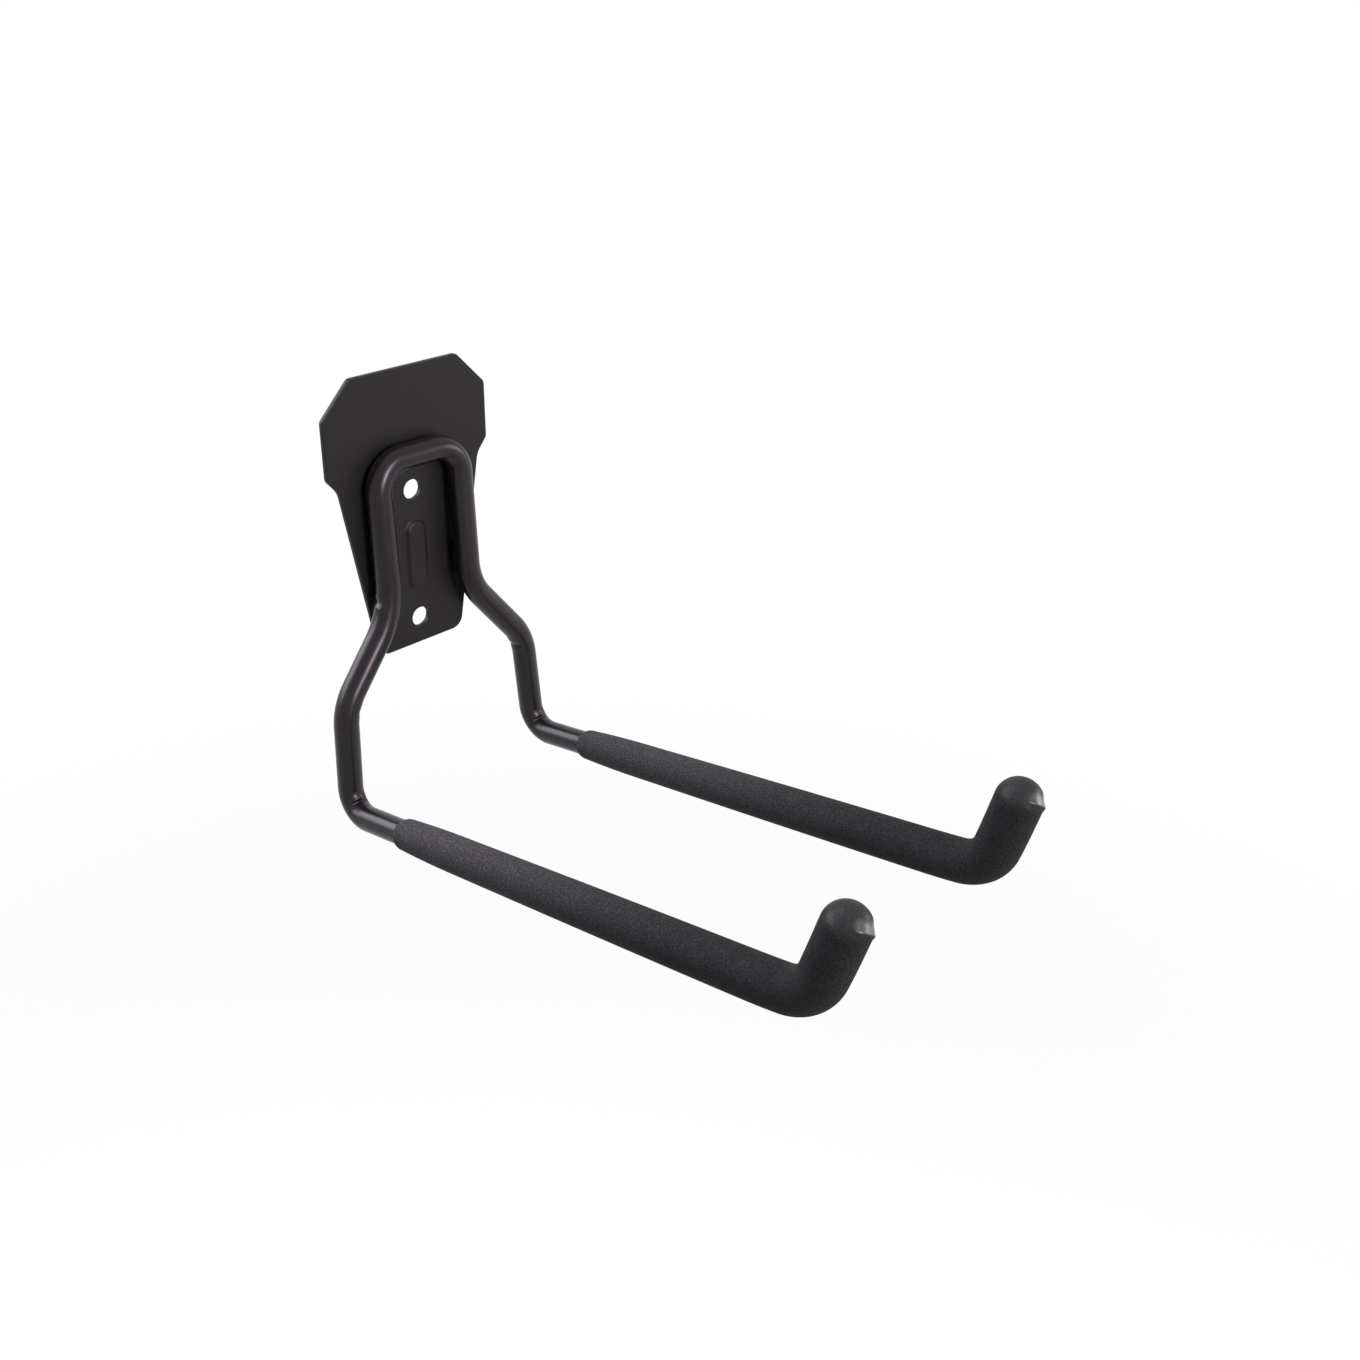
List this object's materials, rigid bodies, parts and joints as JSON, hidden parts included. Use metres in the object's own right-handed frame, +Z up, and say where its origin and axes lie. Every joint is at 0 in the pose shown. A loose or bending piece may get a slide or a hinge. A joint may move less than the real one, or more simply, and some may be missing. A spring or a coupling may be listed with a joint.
{
  "type": "garage utility hook",
  "caption": "Wall-mounted double utility hook: stamped black steel plate with screw holes, bent steel tube arms welded to it, foam sleeves over the arms and upturned tips, for hanging tools.",
  "frame": {"origin": "middle of the two screw holes, on the back of the plate where it meets the wall", "axes": "+X to the right of someone facing the wall, +Y into the wall, +Z up; the arms reach out along -Y"},
  "size_m": [0.1098, 0.259, 0.1739],
  "materials": {
    "plate_coat": "satin black powder coat on sheet steel",
    "tube_coat": "satin black powder coat on steel tube",
    "foam": "matte closed-cell foam, finely speckled"
  },
  "bodies": {
    "root": {"wall_plate": "plate_coat", "hook_tube": "tube_coat", "sleeve_left": "foam", "sleeve_right": "foam"}
  },
  "joints": []
}
